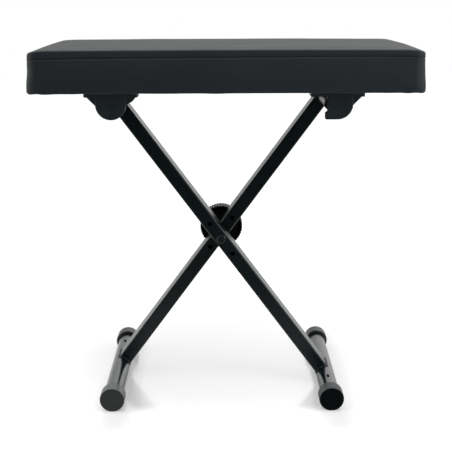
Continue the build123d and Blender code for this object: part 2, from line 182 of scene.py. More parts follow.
air.links.new(strength, background.inputs["Strength"])
print("world light", WORLD_LIGHT)

# %% [markdown]
# The floor
#
# A plain diffuse floor would turn grey at this light. So the floor adds white of its own. It adds
# less of it near the bench and close to the feet, which is painted shade: a soft dark pool and halos
# round the feet, laid over the real shadow of the lamps. Behind its front edge it is smooth enough
# to mirror the legs faintly. In reflections it ends in front of the bench, as a paper sweep does in a
# dark room.

# %% Floor
FLOOR_HALF = 6.0
FLOOR_DROP = 0.0004
FLOOR_PAINT = 0.62
# The lower glow near the bench and close to the feet paints a soft shade on the floor.
NEAR_GLOW = 0.57
SHADE_MIDDLE = (0, 0.10, 0)
SHADE_REACH = (0.18, 0.44)
FOOT_GLOW = 0.40
FOOT_FRONT = (0.178, 0.20, 0)
FOOT_REAR = (0.178, 0.0, 0)
FOOT_REACH = (0.0, 0.095)
REAR_GLOW = 0.5
REAR_GLOW_Y = (-0.4, 0.6)
FRONT_PAINT = 0.10
FRONT_PAINT_Y = (-0.60, -0.12)
FLOOR_MIRROR = 0.34
FLOOR_MIRROR_Y = (-0.165, -0.120)
MIRROR_ROUGHNESS = 0.16

floor_mesh = bpy.data.meshes.new("studio_floor")
corners = [(-FLOOR_HALF, -FLOOR_HALF, 0), (FLOOR_HALF, -FLOOR_HALF, 0)]
corners += [(FLOOR_HALF, FLOOR_HALF, 0), (-FLOOR_HALF, FLOOR_HALF, 0)]
floor_mesh.from_pydata(corners, [], [(0, 1, 2, 3)])
floor = bpy.data.objects.new("studio_floor", floor_mesh)
floor.location.z = -FLOOR_DROP
scene.collection.objects.link(floor)

floor_look = bpy.data.materials.new("white_floor")
floor_look.use_nodes = True
tree = floor_look.node_tree
tree.nodes.clear()
path = tree.nodes.new("ShaderNodeLightPath")
seen = path.outputs["Is Camera Ray"]
spot = tree.nodes.new("ShaderNodeTexCoord").outputs["Object"]
spot_y = wire(tree, "ShaderNodeSeparateXYZ", {0: spot}).outputs["Y"]


def point_math(operation, *points):
    """A node that works on points of the floor."""
    return wire(tree, "ShaderNodeVectorMath", dict(enumerate(points)), operation=operation)


away = point_math("DISTANCE", spot, SHADE_MIDDLE).outputs["Value"]
folded = point_math("ABSOLUTE", spot).outputs[0]
along_foot = point_math("MINIMUM", folded, FOOT_FRONT).outputs[0]
on_foot = point_math("MAXIMUM", along_foot, FOOT_REAR).outputs[0]
beside = point_math("DISTANCE", folded, on_foot).outputs["Value"]
# Painted shade: the floor's glow drops round the bench and round each foot.
painted_shade_round_bench = between(tree, away, NEAR_GLOW, 1.0, *SHADE_REACH)
painted_shade_round_feet = between(tree, beside, FOOT_GLOW, 1.0, *FOOT_REACH)
glow_with_painted_shade = wire(tree, "ShaderNodeMath", {0: painted_shade_round_bench, 1: painted_shade_round_feet}, operation="MINIMUM")
mirrored_glow = between(tree, spot_y, 0.0, REAR_GLOW, *REAR_GLOW_Y)
glow_level = chosen(tree, reflected_rays(tree, path), 0.0, mirrored_glow)
glow_level = chosen(tree, seen, glow_level, glow_with_painted_shade.outputs[0])
mirrored_paint = between(tree, spot_y, FRONT_PAINT, FLOOR_PAINT, *FRONT_PAINT_Y)
paint_level = chosen(tree, reflected_rays(tree, path), FLOOR_PAINT, mirrored_paint)
paint = wire(tree, "ShaderNodeBsdfDiffuse", {"Color": paint_level}).outputs[0]
glow = wire(tree, "ShaderNodeEmission", {"Strength": glow_level}).outputs[0]
both = wire(tree, "ShaderNodeAddShader", {0: paint, 1: glow}).outputs[0]
smooth_white = {"Color": (1, 1, 1, 1), "Roughness": MIRROR_ROUGHNESS}
mirror = wire(tree, "ShaderNodeBsdfAnisotropic", smooth_white).outputs[0]
mirror_share = between(tree, spot_y, 0.0, FLOOR_MIRROR, *FLOOR_MIRROR_Y)
mirror_share = chosen(tree, seen, 0.0, mirror_share)
coated = wire(tree, "ShaderNodeMixShader", {0: mirror_share, 1: both, 2: mirror}).outputs[0]
wire(tree, "ShaderNodeOutputMaterial", {"Surface": coated})
floor_mesh.materials.append(floor_look)
print("floor", 2 * FLOOR_HALF, "m wide")

# %% [markdown]
# The lamps
#
# A large soft lamp overhead lights the upper edges, and a weaker one on each side lifts the seat's
# ends and the legs' flanks. Bare lamps would leave hard dots on the smooth coat, so all three are
# wide boxes.

# %% Lamps
def soft_lamp(name, place, aim, width, height, watts):
    """Rectangular soft box that faces a point."""
    lamp = bpy.data.lights.new(name, "AREA")
    lamp.shape = "RECTANGLE"
    lamp.size = width
    lamp.size_y = height
    lamp.energy = watts
    box = bpy.data.objects.new(name, lamp)
    box.location = place
    box.rotation_euler = (Vector(aim) - Vector(place)).to_track_quat("-Z", "Y").to_euler()
    scene.collection.objects.link(box)


soft_lamp("overhead_box", (0, -0.2, 2.3), (0, 0, 0.3), width=2.4, height=1.8, watts=38)
soft_lamp("left_box", (-2.2, -0.2, 1.1), (0, 0, 0.25), width=1.0, height=1.6, watts=10.5)
soft_lamp("right_box", (1.35, -0.75, 0.75), (0.1, 0, 0.5), width=0.8, height=1.0, watts=5.2)

# %% [markdown]
# Finishes: one way to mottle and roughen a surface
#
# No real coating has one even colour. Each finish below starts from the same three layers:
# cloudy patches that shift the colour, finer patches that shift the gloss, and a grain that
# tilts the surface. The grain's size is given in metres, because the model is in metres.
# Object coordinates are used, so that no piece needs an unwrapped mesh.

# %% A helper for layered finishes
PATCH_EDGES = (0.32, 0.68)
GLOSS_PATCH = 1 / 3


class Finish:
    """A procedural coating: colour patches, gloss patches and a grain in relief."""

    def __init__(self, name, dark, light, roughness, patch=0.05):
        self.material = bpy.data.materials.new(name)
        self.material.use_nodes = True
        self.tree = self.material.node_tree
        self.shader = self.tree.nodes["Principled BSDF"]
        coords = self.tree.nodes.new("ShaderNodeTexCoord")
        self.place = coords.outputs["Object"]
        self.height = None
        patches = self.cloud(patch, 4.0)
        self.colour_by(patches, dark, light)
        low, high = roughness
        gloss = between(self.tree, self.cloud(patch * GLOSS_PATCH, 3.0), low, high)
        self.tree.links.new(gloss, self.shader.inputs["Roughness"])

    def cloud(self, size, detail, stretch=(1, 1, 1)):
        """Soft noise with features of about the given size."""
        mapping = self.tree.nodes.new("ShaderNodeMapping")
        mapping.inputs["Scale"].default_value = [s / size for s in stretch]
        self.tree.links.new(self.place, mapping.inputs["Vector"])
        texture = self.tree.nodes.new("ShaderNodeTexNoise")
        texture.inputs["Scale"].default_value = 1.0
        texture.inputs["Detail"].default_value = detail
        self.tree.links.new(mapping.outputs[0], texture.inputs["Vector"])
        return texture.outputs["Fac"]

    def pebbles(self, size):
        """Cells of about the given size, as in a pressed grain."""
        texture = self.tree.nodes.new("ShaderNodeTexVoronoi")
        texture.inputs["Scale"].default_value = 1 / size
        self.tree.links.new(self.place, texture.inputs["Vector"])
        return texture.outputs["Distance"]

    def colour_by(self, share, dark, light):
        """Base colour between two tones."""
        ramp = self.tree.nodes.new("ShaderNodeValToRGB")
        for element, edge, colour in zip(ramp.color_ramp.elements, PATCH_EDGES, (dark, light)):
            element.position = edge
            element.color = (*colour, 1)
        self.tree.links.new(share, ramp.inputs["Fac"])
        self.tree.links.new(ramp.outputs["Color"], self.shader.inputs["Base Color"])

    def tinted(self, share, colour):
        """Mixes another colour into the base colour, by a share from 0 to 1."""
        base = self.shader.inputs["Base Color"]
        values = {0: share, 6: base.links[0].from_socket, 7: (*colour, 1)}
        mixed = wire(self.tree, "ShaderNodeMix", values, data_type="RGBA")
        self.tree.links.new(mixed.outputs[2], base)

    def relief(self, height, depth, strength=1.0):
        """Adds a grain in relief, with its depth in metres, over the relief that is there."""
        bump = self.tree.nodes.new("ShaderNodeBump")
        bump.inputs["Distance"].default_value = depth
        bump.inputs["Strength"].default_value = strength
        self.tree.links.new(height, bump.inputs["Height"])
        if self.height is not None:
            self.tree.links.new(self.height, bump.inputs["Normal"])
        self.height = bump.outputs["Normal"]
        self.tree.links.new(self.height, self.shader.inputs["Normal"])

    def even(self, socket, value):
        """A value that is the same all over, set on the shader's own socket."""
        self.shader.inputs[socket].default_value = value


print("finish helper ready")

# %% [markdown]
# Powder coat on the steel
#
# The tubes are sprayed with dry black powder and baked, which leaves a satin skin with a very
# fine orange peel. Its front faces look almost black and its upper edges pale, because a smooth
# coat reflects more at a flat angle. So the colour stays dark, the gloss does the work, and two
# small noises give the peel. The foot tubes shine a little more than the legs.

# %% Powder coat
COAT_DARK, COAT_LIGHT = (0.0006, 0.0060, 0.0068), (0.0018, 0.0088, 0.0098)
powder = Finish("black_powder_coat", COAT_DARK, COAT_LIGHT, (0.24, 0.32))
foot_powder = Finish("foot_powder_coat", COAT_DARK, COAT_LIGHT, (0.20, 0.28))
for coat, gloss in ((powder, 1.5), (foot_powder, 2.3)):
    coat.relief(coat.cloud(0.0016, 2.0), 0.00006, 0.5)
    coat.relief(coat.cloud(0.0005, 1.0), 0.00002, 0.4)
    coat.even("IOR", gloss)


def dress(finish, *names):
    """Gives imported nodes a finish."""
    for name in names:
        nodes[name].data.materials.clear()
        nodes[name].data.materials.append(finish.material)


dress(powder, "front_leg", "front_leg_sleeve", "rear_leg", "rear_leg_sleeve")
dress(foot_powder, "right_foot_tube", "left_foot_tube")
print("powder coated pieces done")

# %% [markdown]
# Moulded plastics and rubber
#
# The seat brackets and the knob are moulded in a spark-eroded tool, which gives a fine matt
# texture. The knob is coloured far darker than the brackets, which is painted shade, as it sits in
# the shade between the legs. The foot caps are softer. The rims of the two front ones are painted
# paler, a painted reflection of the lit floor. The face of the right one is painted blacker than the
# others, which is painted shade. A painted map could hold such rims, but a rim is simply where the
# cap doesn't face forward, so the direction of the surface places it.

# %% Plastics and rubber
bracket = Finish("moulded_black_nylon", (0.013, 0.0240, 0.0285), (0.020, 0.0340, 0.0400),
                 (0.44, 0.54), 0.02)
bracket.relief(bracket.cloud(0.0006, 2.0), 0.00005, 0.6)
dress(bracket, "hinge_bracket_front", "hinge_bracket_rear", "hook_bracket_front", "hook_bracket_rear")

# Painted shade: the knob's colour is far darker than the brackets', because it sits in shade between
# the legs.
shaded_knob_skin = Finish("moulded_black_knob", (0.0004, 0.0010, 0.0012), (0.0010, 0.0018, 0.0021),
                   (0.30, 0.40), 0.02)
shaded_knob_skin.relief(shaded_knob_skin.cloud(0.0005, 2.0), 0.00004, 0.6)
shaded_knob_skin.even("Specular IOR Level", 0.14)
dress(shaded_knob_skin, "clutch_knob", "knob_lid")

RUBBER_DARK, RUBBER_LIGHT = (0.012, 0.0140, 0.0148), (0.019, 0.0215, 0.0225)
RUBBER_GLOSS, RUBBER_PATCH = (0.32, 0.42), 0.015
FACE_TO_RIM = (-0.9, -0.5)
rubber = Finish("black_rubber", RUBBER_DARK, RUBBER_LIGHT, RUBBER_GLOSS, RUBBER_PATCH)
rubber.even("IOR", 1.55)
# A copy of the rubber whose rim is painted paler: a painted reflection of the lit floor.
rubber_painted_rim_highlight = Finish("rubber_painted_rim_highlight", RUBBER_DARK, RUBBER_LIGHT, RUBBER_GLOSS, RUBBER_PATCH)
rubber_painted_rim_highlight.even("IOR", 1.55)
# A copy of the rubber with a face painted blacker, which is painted shade, and the same painted pale
# rim.
rubber_painted_shade_and_rim = Finish("rubber_painted_shade_and_rim", (0.0010, 0.0034, 0.0034), (0.0022, 0.0052, 0.0052),
                        RUBBER_GLOSS, RUBBER_PATCH)
rubber_painted_shade_and_rim.even("Specular IOR Level", 0.05)
for cap in (rubber, rubber_painted_rim_highlight, rubber_painted_shade_and_rim):
    cap.relief(cap.cloud(0.0012, 3.0), 0.00005, 0.5)
# The paler rim colour mixed in here is a painted highlight.
for cap, painted_rim_highlight in ((rubber_painted_rim_highlight, (0.11, 0.114, 0.116)), (rubber_painted_shade_and_rim, (0.10, 0.105, 0.108))):
    facing = wire(cap.tree, "ShaderNodeTexCoord", {}).outputs["Normal"]
    forward = wire(cap.tree, "ShaderNodeSeparateXYZ", {0: facing}).outputs["Y"]
    cap.tinted(between(cap.tree, forward, 0.0, 1.0, *FACE_TO_RIM), painted_rim_highlight)
dress(rubber, "right_foot_rear_cap", "left_foot_rear_cap")
dress(rubber_painted_rim_highlight, "left_foot_front_cap")
dress(rubber_painted_shade_and_rim, "right_foot_front_cap")
print("brackets, knob and caps done")

# %% [markdown]
# Small metal, bushes and wood
#
# The bolt and the screws are blackened, the clutch plate is a dull black casting and the bushes
# are black nylon. Inside the knob the spring is oiled and its washer and nut are zinc plated. Few
# of these show, but an opened or folded bench shows them, so each has its own gloss and grain. The
# plywood's grain is the same soft noise, drawn out along the board.

# %% Metal, bushes and wood
black_metal = Finish("blackened_bolt", (0.010, 0.012, 0.014), (0.022, 0.025, 0.028),
                     (0.10, 0.16), 0.006)
black_metal.relief(black_metal.cloud(0.0008, 2.0), 0.00003, 0.4)
black_metal.even("Metallic", 0.3)
dress(black_metal, "pivot_bolt", "hinge_bracket_screws", "hook_bracket_screws", "clutch_plate_screws")

black_casting = Finish("black_casting", (0.0010, 0.0016, 0.0018), (0.0022, 0.0030, 0.0033),
                       (0.4, 0.55), 0.01)
black_casting.relief(black_casting.cloud(0.0007, 3.0), 0.00008, 0.6)
black_casting.even("Specular IOR Level", 0.15)
dress(black_casting, "clutch_plate")

zinc = Finish("zinc_plating", (0.42, 0.43, 0.44), (0.60, 0.61, 0.61), (0.25, 0.38), 0.008)
zinc.relief(zinc.cloud(0.0009, 2.0, (1, 0.1, 1)), 0.00002, 0.4)
zinc.even("Metallic", 1.0)
dress(zinc, "pivot_crush_sleeve", "spring_washer", "pivot_nut")

spring_steel = Finish("oiled_spring_steel", (0.20, 0.20, 0.21), (0.32, 0.32, 0.33),
                      (0.25, 0.4), 0.006)
spring_steel.relief(spring_steel.cloud(0.0006, 2.0), 0.00002, 0.4)
spring_steel.even("Metallic", 1.0)

black_nylon = Finish("turned_black_nylon", (0.002, 0.0032, 0.0034), (0.004, 0.0056, 0.006),
                     (0.45, 0.55), 0.01)
black_nylon.relief(black_nylon.cloud(0.0007, 2.0), 0.00004, 0.4)
black_nylon.even("Specular IOR Level", 0.25)
dress(black_nylon, "thrust_washer", "pivot_bush")

WOOD_DARK, WOOD_LIGHT = (0.42, 0.29, 0.16), (0.60, 0.44, 0.27)
plywood = Finish("bare_plywood", WOOD_DARK, WOOD_LIGHT, (0.6, 0.75), 0.03)
plywood.colour_by(plywood.cloud(0.02, 5.0, (0.12, 1, 1)), WOOD_DARK, WOOD_LIGHT)
plywood.relief(plywood.cloud(0.002, 4.0, (0.1, 1, 1)), 0.0001, 0.5)
dress(plywood, "seat_board")
print("small pieces done")

# %% [markdown]
# The vinyl of the seat
#
# Bench vinyl is a soft plastic skin pressed with a fine leather grain: shallow pebbles about a
# millimetre across, with thin creases between them. It is nearly black, and at a flat angle it
# picks up a grey sheen, which is why the top of the seat looks paler than its front. Down in the
# seam it lies in shade: the seat's mesh carries a value there that darkens the vinyl.

# %% Vinyl
vinyl = Finish("black_vinyl", (0.0100, 0.0165, 0.0220), (0.0130, 0.0200, 0.0260),
               (0.60, 0.68), 0.08)
in_seam = wire(vinyl.tree, "ShaderNodeAttribute", {}, attribute_name="seam_shade")
vinyl.tinted(in_seam.outputs["Fac"], (0.0010, 0.0012, 0.0015))
vinyl.relief(vinyl.pebbles(0.0016), 0.00012, 0.35)
vinyl.relief(vinyl.cloud(0.0006, 2.0), 0.00003, 0.35)
vinyl.even("IOR", 1.5)
vinyl.even("Sheen Weight", 0.05)
vinyl.even("Sheen Roughness", 0.4)
vinyl.even("Sheen Tint", (1.0, 0.86, 0.45, 1))
print("vinyl ready")

# %% [markdown]
# The shape of the seat
#
# The seat is a boxed cushion: a top panel rolled over the edge, a band round the sides, and a
# seam between them about a centimetre below the top. Its mesh is laid out like the real panels,
# as a grid for the top and rows round the band, so that the rows can crowd together at the seam.
# The corners of the grid are bent into quarter circles, which keeps the faces even.

# %% Panels of the seat
cover_low, cover_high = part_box("seat_cover")
HALF_LENGTH = cover_high.x - 0.0007
HALF_DEPTH = cover_high.y
SEAT_UNDER = cover_low.z
SEAT_TOP = cover_high.z
CORNER = 0.017
TOP_ROLL = 0.0024
LOW_ROLL = 0.0022
TURN_IN = 0.028
CROWN = 0.0006
EDGE_Z = SEAT_TOP - 0.0008
SEAM_Z = EDGE_Z - 0.0106


def stops(half, corner, cells, corner_cells):
    """Grid lines from -half to half, closer together in the rounded corners."""
    outer = [half - corner + corner * k / corner_cells for k in range(1, corner_cells + 1)]
    flat = half - corner
    inner = [-flat + 2 * flat * k / cells for k in range(cells + 1)]
    return [-v for v in reversed(outer)] + inner + outer


GRID_X = stops(HALF_LENGTH, CORNER, 60, 6)
GRID_Y = stops(HALF_DEPTH, CORNER, 28, 6)


def bent(x, y, inset):
    """Grid point after the corners are rounded and the outline is drawn in by the inset."""
    over_x = (abs(x) - (HALF_LENGTH - CORNER)) / CORNER
    over_y = (abs(y) - (HALF_DEPTH - CORNER)) / CORNER
    radius = CORNER - inset
    if over_x > 0 and over_y > 0:
        bend_x = over_x * math.sqrt(1 - over_y * over_y / 2) * radius
        bend_y = over_y * math.sqrt(1 - over_x * over_x / 2) * radius
    else:
        bend_x = over_x * radius
        bend_y = over_y * radius
    new_x = HALF_LENGTH - CORNER + bend_x if over_x > 0 else abs(x)
    new_y = HALF_DEPTH - CORNER + bend_y if over_y > 0 else abs(y)
    return math.copysign(new_x, x), math.copysign(new_y, y)


def rim():
    """Grid points round the edge of the seat, in order."""
    last_x, last_y = GRID_X[-1], GRID_Y[-1]
    front = [(x, -last_y) for x in GRID_X[:-1]]
    right_side = [(last_x, y) for y in GRID_Y[:-1]]
    rear = [(x, last_y) for x in reversed(GRID_X[1:])]
    left_side = [(-last_x, y) for y in reversed(GRID_Y[1:])]
    return front + right_side + rear + left_side


HEM_ROWS = ((0.0009, TURN_IN), (0.0, TURN_IN - 0.0006), (0.0, 0.016), (0.0, 0.009))
SEAM_ROWS = (-0.0026, -0.0016, -0.0008, 0.0, 0.0008, 0.0016, 0.0026)
SEAM_MARGIN = 0.004
LOW_STEPS, BAND_STEPS, TOP_STEPS = 4, 7, 5


def band_rows():
    """(height, inset) of the rows from the turned-in hem under the seat up to the top panel."""
    rows = [(SEAT_UNDER + lift, inset) for lift, inset in HEM_ROWS]
    for k in range(LOW_STEPS + 1):
        turn = math.radians(90 * k / LOW_STEPS)
        rows.append((SEAT_UNDER + LOW_ROLL * (1 - math.cos(turn)), LOW_ROLL * (1 - math.sin(turn))))
    body = SEAM_Z - SEAM_MARGIN - (SEAT_UNDER + LOW_ROLL)
    band = range(1, BAND_STEPS + 1)
    rows += [(SEAT_UNDER + LOW_ROLL + body * k / BAND_STEPS, 0.0) for k in band]
    rows += [(SEAM_Z + from_seam, 0.0) for from_seam in SEAM_ROWS]
    for k in range(TOP_STEPS + 1):
        turn = math.radians(90 * k / TOP_STEPS)
        rows.append((EDGE_Z - TOP_ROLL * (1 - math.sin(turn)), TOP_ROLL * (1 - math.cos(turn))))
    return rows


print("points round the seat", len(rim()), "rows", len(band_rows()))

# %% [markdown]
# Joining the panels
#
# A box with rounded edges would give the outline too, but not rows that can be sewn and pleated
# later. So each row becomes a ring of points, the rings are joined by faces from the hem up to the
# edge, and the grid of the top panel closes the form. The underside is closed by one face.

# %% Join the panels
MOST_INSET = CORNER * 0.95
CROWN_POWER = 4
HAIR = 1e-6


def drawn_in(value, extra, straight):
    """A coordinate moved in by the extra, where it lies past the straight stretch of a side."""
    if abs(value) > straight - HAIR:
        return value - math.copysign(min(extra, abs(value)), value)
    return value


def panel_mesh(name, shrink=0.0):
    """Closed mesh of the seat's panels, drawn in all round by the shrink."""
    shape = bmesh.new()
    rings = []
    for height, inset in band_rows():
        ring = []
        for x, y in rim():
            px, py = bent(x, y, min(inset, MOST_INSET))
            if inset > MOST_INSET:
                px = drawn_in(px, inset - MOST_INSET, HALF_LENGTH - CORNER)
                py = drawn_in(py, inset - MOST_INSET, HALF_DEPTH - CORNER)
            ring.append(shape.verts.new((px, py, height)))
        rings.append(ring)
    for lower, upper in zip(rings, rings[1:]):
        for k in range(len(lower)):
            j = (k + 1) % len(lower)
            shape.faces.new((lower[k], lower[j], upper[j], upper[k]))
    shape.faces.new(list(reversed(rings[0])))
    edge_of = dict(zip(rim(), rings[-1]))
    grid = []
    for y in GRID_Y:
        row = []
        for x in GRID_X:
            vert = edge_of.get((x, y))
            if vert is None:
                px, py = bent(x, y, TOP_ROLL)
                rise_x = 1 - (px / (HALF_LENGTH - TOP_ROLL)) ** CROWN_POWER
                rise_y = 1 - (py / (HALF_DEPTH - TOP_ROLL)) ** CROWN_POWER
                lift = CROWN * max(0.0, rise_x) * max(0.0, rise_y)
                vert = shape.verts.new((px, py, EDGE_Z + lift))
            row.append(vert)
        grid.append(row)
    for lower, upper in zip(grid, grid[1:]):
        for k in range(len(lower) - 1):
            shape.faces.new((lower[k], lower[k + 1], upper[k + 1], upper[k]))
    if shrink:
        middle = (SEAT_UNDER + SEAT_TOP) / 2
        for vert in shape.verts:
            vert.co.x *= 1 - shrink / HALF_LENGTH
            vert.co.y *= 1 - shrink / HALF_DEPTH
            if vert.co.z > middle:
                vert.co.z -= shrink
    mesh = bpy.data.meshes.new(name)
    shape.to_mesh(mesh)
    shape.free()
    return mesh


seat = bpy.data.objects.new("padded_seat", panel_mesh("padded_seat"))
scene.collection.objects.link(seat)
print("seat panels", len(seat.data.polygons), "faces")

# %% [markdown]
# Filling the seat
#
# Foam under a tight cover pushes the panels out between their edges. Drawing that swelling by
# hand looks stiff, so a slightly smaller copy of the seat is remeshed and blown up as a cloth,
# held at the board and along the sewn edges. No point may move far, because the real foam is
# firm. A remesh blunts the edges, so only its movement is kept: each point of the sewn panels
# moves as the nearest points of the swollen copy did.

# %% Swell the seat by simulation
SWELL_CAP = 0.0012
SIM_FRAMES = 20
EDGE_HOLD = 0.010
SMALLER = 0.0010
VOXEL = 0.006
PRESSURE = 4.0
NEIGHBOURS = 6


def held_in_place(co):
    """True where the board or a sewn edge holds the cover."""
    near_top = SEAT_TOP - co.z < EDGE_HOLD
    near_end = HALF_LENGTH - abs(co.x) < EDGE_HOLD
    near_front = HALF_DEPTH - abs(co.y) < EDGE_HOLD
    return near_top + near_end + near_front > 1 or co.z < SEAT_UNDER + EDGE_HOLD / 2


def evaluated(obj):
    """A new mesh of an object as its modifiers leave it."""
    return bpy.data.meshes.new_from_object(obj.evaluated_get(bpy.context.evaluated_depsgraph_get()))


def swelling():
    """Points of a remeshed copy of the seat, and how far the foam's pressure moves each."""
    body = bpy.data.objects.new("foam_body", panel_mesh("foam_body", SMALLER))
    scene.collection.objects.link(body)
    remesh = body.modifiers.new("even_faces", "REMESH")
    remesh.mode = "VOXEL"
    remesh.voxel_size = VOXEL
    even_mesh = evaluated(body)
    body.modifiers.clear()
    body.data = even_mesh
    start = [v.co.copy() for v in even_mesh.vertices]
    held = body.vertex_groups.new(name="held")
    held.add([k for k, co in enumerate(start) if held_in_place(co)], 1.0, "REPLACE")
    cloth = body.modifiers.new("cover", "CLOTH")
    cloth.settings.vertex_group_mass = "held"
    cloth.settings.quality = 5
    cloth.settings.mass = 0.4
    cloth.settings.tension_stiffness = 40
    cloth.settings.compression_stiffness = 40
    cloth.settings.shear_stiffness = 20
    cloth.settings.bending_stiffness = 2.0
    cloth.settings.use_pressure = True
    cloth.settings.uniform_pressure_force = PRESSURE
    cloth.settings.effector_weights.gravity = 0.0
    cloth.point_cache.frame_start = 1
    cloth.point_cache.frame_end = SIM_FRAMES
    for step in range(1, SIM_FRAMES + 1):
        scene.frame_set(step)
    pushes = [vert.co - was for vert, was in zip(evaluated(body).vertices, start)]
    pushes = [move * min(1.0, SWELL_CAP / max(move.length, 1e-9)) for move in pushes]
    scene.frame_set(1)
    bpy.data.objects.remove(body)
    most = max(move.length for move in pushes)
    print("foam pushed the cover out by up to", round(most * 1000, 2), "mm")
    return start, pushes


start, pushes = swelling()
tree_of_points = kdtree.KDTree(len(start))
for k, co in enumerate(start):
    tree_of_points.insert(co, k)
tree_of_points.balance()
for vert in seat.data.vertices:
    near = tree_of_points.find_n(vert.co, NEIGHBOURS)
    weights = [1 / (distance + 0.001) for _, _, distance in near]
    total = sum((pushes[k] * w for (_, k, _), w in zip(near, weights)), Vector())
    vert.co += total / sum(weights)
print("seat height", round(max(v.co.z for v in seat.data.vertices), 4))

# %% [markdown]
# How the cover settles
#
# A new cushion would be straight and even, and looks like a box. This one has been sat on: its top
# has sunk at the two ends, more at the left one, the seam runs a little askew, as sewn by hand, and
# the band leans out towards the board. Sculpting could do this by hand. Here each of these is a
# small function of where a point lies, so that it can be measured and changed.

# %% Settled shape of the cover
END_ROLL = 0.028
END_DROP = 0.0075
FIRM_MIDDLE = {-1: 0.15, 1: 0.5}
EDGE_RISE = 0.0010
SEAM_RISE = -0.0004
SEAM_SAG = 0.0016
SEAM_SLOPE = 0.0045
SEAM_PULL = 0.03
BAND_LEAN = 0.0025
LEAN_HEIGHTS = (0.2, 0.9)
LEAN_ENDS = (HALF_LENGTH - 0.022, HALF_LENGTH - 0.006)
END_WAVE = 0.0008


def eased(value, start, end):
    """Goes smoothly from 0 to 1 as the value goes from start to end."""
    share = min(1.0, max(0.0, (value - start) / (end - start)))
    return share * share * (3 - 2 * share)


def end_drop(co):
    """How far the top has sunk at a point near one of the ends."""
    over = min(1.0, max(0.0, abs(co.x) - (HALF_LENGTH - END_ROLL)) / END_ROLL)
    firm = FIRM_MIDDLE[1 if co.x > 0 else -1] * (1 - min(1.0, abs(co.y) / HALF_DEPTH) ** 2)
    return END_DROP * (1 - firm) * (1 - math.sqrt(1 - over * over))


def settled(co):
    """Place of a point once the cover has settled."""
    drop = end_drop(co)
    at_seam = SEAM_RISE + SEAM_SLOPE * co.x - SEAM_SAG * (co.x / HALF_LENGTH) ** 6 - drop / 2
    at_edge = EDGE_RISE * (1 - (co.x / HALF_LENGTH) ** 2) - drop
    if co.z > SEAM_Z:
        lift = at_seam + (at_edge - at_seam) * min(1.0, (co.z - SEAM_Z) / (EDGE_Z - SEAM_Z))
    else:
        lift = at_seam * eased(co.z, SEAM_Z - SEAM_PULL, SEAM_Z)
    lower = eased((SEAM_Z - co.z) / (SEAM_Z - SEAT_UNDER), *LEAN_HEIGHTS)
    wavy = END_WAVE * noise.noise((co.x, co.y * 14, co.z * 55))
    lean = (BAND_LEAN * lower + wavy) * eased(abs(co.x), *LEAN_ENDS)
    return co + Vector((math.copysign(1, co.x) * lean, 0, lift))


print("ends sink by up to", round(END_DROP * 1000, 1), "mm")

# %% [markdown]
# The seam and the pull of the thread
#
# The band and the top panel are sewn edge to edge, so the seam is a narrow valley, and the thread
# puckers the vinyl a little at each stitch. The vinyl is also tightest at the corners, where the
# band shows faint upright creases, and under the corners the spare vinyl is folded into pleats.
# A bump in the material would vanish at the outline, so these are small moves of the mesh.

# %% Stitches, creases and pleats
STITCH = 0.0062
SEAM_DEPTH = 0.0005
SEAM_WIDTH = 0.0010
SHADE_WIDTH = 0.0007
LIP_PLACE, LIP_WIDTH = 0.0024, 0.0014
LIP_HEIGHT, PUCKER_HEIGHT = 0.00010, 0.00008
CORNER_REACH = 0.06
CREASE_DEPTH, CREASE_REACH = 0.0006, 0.02
GATHER_DEPTH, GATHER_REACH = 0.0007, 0.003
SWAY = 0.00035
PLEATS = 3
PLEAT_DEPTH = 0.0011
HEM_DEPTH, HEM_REACH, HEM_HEIGHT = 0.0016, 0.008, 0.003
BAND_FOOT = 0.004
UPRIGHT = 0.4


def round_the_seat(co):
    """Distance along the seat's edge, so that stitches run on round the corners."""
    if abs(co.y) / HALF_DEPTH > abs(co.x) / HALF_LENGTH:
        return co.x if co.y < 0 else 2.0 - co.x
    return 1.0 + co.y if co.x > 0 else 3.0 - co.y


def pleat(co):
    """How far a pleat stands down at a point under a corner of the seat."""
    from_x = abs(co.x) - (HALF_LENGTH - TURN_IN - CORNER / 2)
    from_y = abs(co.y) - (HALF_DEPTH - TURN_IN - CORNER / 2)
    if from_x <= 0 or from_y <= 0 or co.z > SEAT_UNDER + 0.0005:
        return 0.0
    share = math.atan2(from_y, from_x) / (math.pi / 2)
    return PLEAT_DEPTH * (0.5 - 0.5 * math.cos(2 * math.pi * PLEATS * share))


def hem_bulge(co):
    """How far the folded hem stands down at a point close to the seat's lower edge."""
    from_edge = min(HALF_LENGTH - abs(co.x), HALF_DEPTH - abs(co.y))
    if from_edge > HEM_REACH or co.z > SEAT_UNDER + HEM_HEIGHT:
        return 0.0
    return HEM_DEPTH * max(0.0, noise.noise((co.x * 28, co.y * 28, 5.2)))


def sewn(co):
    """How far the thread and the corners push a point of the band out."""
    from_seam = co.z - SEAM_Z
    lips = math.exp(-((abs(from_seam) - LIP_PLACE) / LIP_WIDTH) ** 2)
    pucker = 0.5 + 0.5 * math.cos(2 * math.pi * round_the_seat(co) / STITCH)
    push = (LIP_HEIGHT + PUCKER_HEIGHT * pucker) * lips
    push -= SEAM_DEPTH * math.exp(-(from_seam / SEAM_WIDTH) ** 2)
    corner_x = max(0.0, abs(co.x) - (HALF_LENGTH - CORNER_REACH)) / CORNER_REACH
    corner_y = max(0.0, abs(co.y) - (HALF_DEPTH - CORNER_REACH)) / CORNER_REACH
    near_corner = min(1.0, corner_x * corner_y * 2)
    below = min(1.0, max(0.0, -from_seam / CREASE_REACH))
    above_seam = min(1.0, max(0.0, from_seam / GATHER_REACH))
    crease = noise.noise((co.x * 90, co.y * 90, co.z * 14))
    gather = noise.noise((co.x * 130, co.y * 130, co.z * 60))
    return push + near_corner * (CREASE_DEPTH * below * crease + GATHER_DEPTH * above_seam * gather)


print("stitches round the seat", round(4 * (HALF_LENGTH + HALF_DEPTH) / STITCH))

